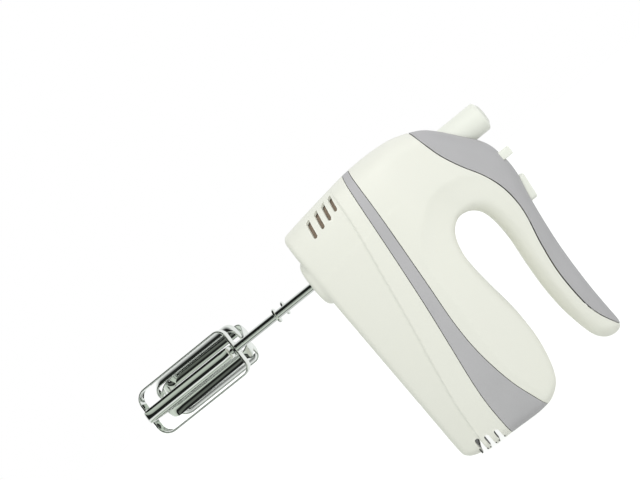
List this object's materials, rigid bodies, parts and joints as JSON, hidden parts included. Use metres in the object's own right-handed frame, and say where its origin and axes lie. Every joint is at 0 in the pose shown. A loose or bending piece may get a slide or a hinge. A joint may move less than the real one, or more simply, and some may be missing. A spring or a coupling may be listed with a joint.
{
  "type": "hand mixer",
  "caption": "Electric hand mixer with an open-ended handle, a geared motor inside, slide speed control, turbo and eject buttons, and two removable wire beaters.",
  "frame": {"origin": "on the flat of the heel that the mixer stands on, on its middle plane, 7 mm above the parting line between the lower housing and the trim band", "axes": "+Z from the heel to the nose, +X from the beaters to the handle, along the beater shafts, +Y across, with the left beater at -Y"},
  "size_m": [0.3089, 0.084, 0.2026],
  "materials": {
    "white_plastic": "satin moulded, slightly warm white",
    "grey_plastic": "fine matte grey",
    "button_plastic": "satin moulded white",
    "chrome": "polished plating",
    "steel": "ground",
    "laminations": "stacked sheet steel",
    "copper": "enamelled copper",
    "bronze": "sintered bronze",
    "die_cast": "as cast",
    "nylon": "natural nylon",
    "black_plastic": "moulded black",
    "carbon": "pressed carbon",
    "board": "lacquered laminate",
    "capacitor_film": "moulded yellow",
    "lead_sleeve": "extruded sleeve"
  },
  "bodies": {
    "housing": {"lower_housing": "white_plastic", "upper_housing": "white_plastic", "trim_band": "grey_plastic", "handle_cover": "grey_plastic", "ejector_spring": "steel", "speed_switch": "black_plastic", "turbo_spring": "steel", "turbo_switch": "black_plastic", "switch_carrier": "nylon", "control_board": "board", "noise_capacitor": "capacitor_film", "gear_cradle": "die_cast", "gear_cover": "die_cast", "left_lower_bush": "bronze", "left_upper_bush": "bronze", "right_lower_bush": "bronze", "right_upper_bush": "bronze", "left_brush_holder": "black_plastic", "right_brush_holder": "black_plastic", "left_carbon_brush": "carbon", "right_carbon_brush": "carbon", "left_motor_lead": "lead_sleeve", "right_motor_lead": "lead_sleeve", "stator_core": "laminations", "upper_field_coil": "copper", "lower_field_coil": "copper", "rear_bracket": "die_cast", "rear_bearing": "bronze", "front_bracket": "die_cast", "front_bearing": "bronze", "housing_screw_1": "steel", "housing_screw_2": "steel", "housing_screw_3": "steel", "housing_screw_4": "steel", "handle_screw_1": "steel", "handle_screw_2": "steel"},
    "armature": {"armature_shaft": "steel", "armature_core": "laminations", "front_winding": "copper", "rear_winding": "copper", "commutator": "copper", "cooling_fan": "black_plastic"},
    "left_wheel": {"left_gear": "nylon"},
    "right_wheel": {"right_gear": "nylon"},
    "left_beater": {"left_beater_shaft": "chrome", "left_beater_collar": "chrome", "left_beater_loop_a": "chrome", "left_beater_loop_b": "chrome"},
    "right_beater": {"right_beater_shaft": "chrome", "right_beater_collar": "chrome", "right_beater_loop_a": "chrome", "right_beater_loop_b": "chrome"},
    "eject": {"eject_button": "button_plastic", "ejector_fork": "black_plastic"},
    "slider": {"speed_slider": "button_plastic"},
    "turbo": {"turbo_button": "button_plastic"}
  },
  "joints": [
    {"name": "motor_spin", "type": "hinge", "parent": "housing", "child": "armature", "pos_m": [-0.008, 0, 0.08], "axis": [0, 0, 1], "continuous": true},
    {"name": "left_wheel_spin", "type": "hinge", "parent": "housing", "child": "left_wheel", "pos_m": [0, -0.019, 0.156], "axis": [1, 0, 0], "continuous": true},
    {"name": "right_wheel_spin", "type": "hinge", "parent": "housing", "child": "right_wheel", "pos_m": [0, 0.019, 0.156], "axis": [1, 0, 0], "continuous": true},
    {"name": "left_beater_release", "type": "slide", "parent": "left_wheel", "child": "left_beater", "axis": [-1, 0, 0], "range_m": [0, 0.007]},
    {"name": "right_beater_release", "type": "slide", "parent": "right_wheel", "child": "right_beater", "axis": [-1, 0, 0], "range_m": [0, 0.007]},
    {"name": "eject_press", "type": "slide", "parent": "housing", "child": "eject", "axis": [-1, 0, 0], "range_m": [0, 0.007], "stiffness_N_per_m": 600, "springref_m": -0.002, "deforming": ["ejector_spring"]},
    {"name": "speed_select", "type": "slide", "parent": "housing", "child": "slider", "axis": [0, 1, 0], "range_m": [0, 0.016]},
    {"name": "turbo_press", "type": "slide", "parent": "housing", "child": "turbo", "axis": [-1, 0, 0], "range_m": [0, 0.002], "stiffness_N_per_m": 500, "springref_m": -0.001, "deforming": ["turbo_spring"]}
  ],
  "couplings": [
    {"joint": "left_wheel_spin", "follows": "motor_spin", "ratio": -0.035714},
    {"joint": "right_wheel_spin", "follows": "motor_spin", "ratio": 0.035714},
    {"joint": "left_beater_release", "follows": "eject_press", "ratio": 1},
    {"joint": "right_beater_release", "follows": "eject_press", "ratio": 1}
  ]
}
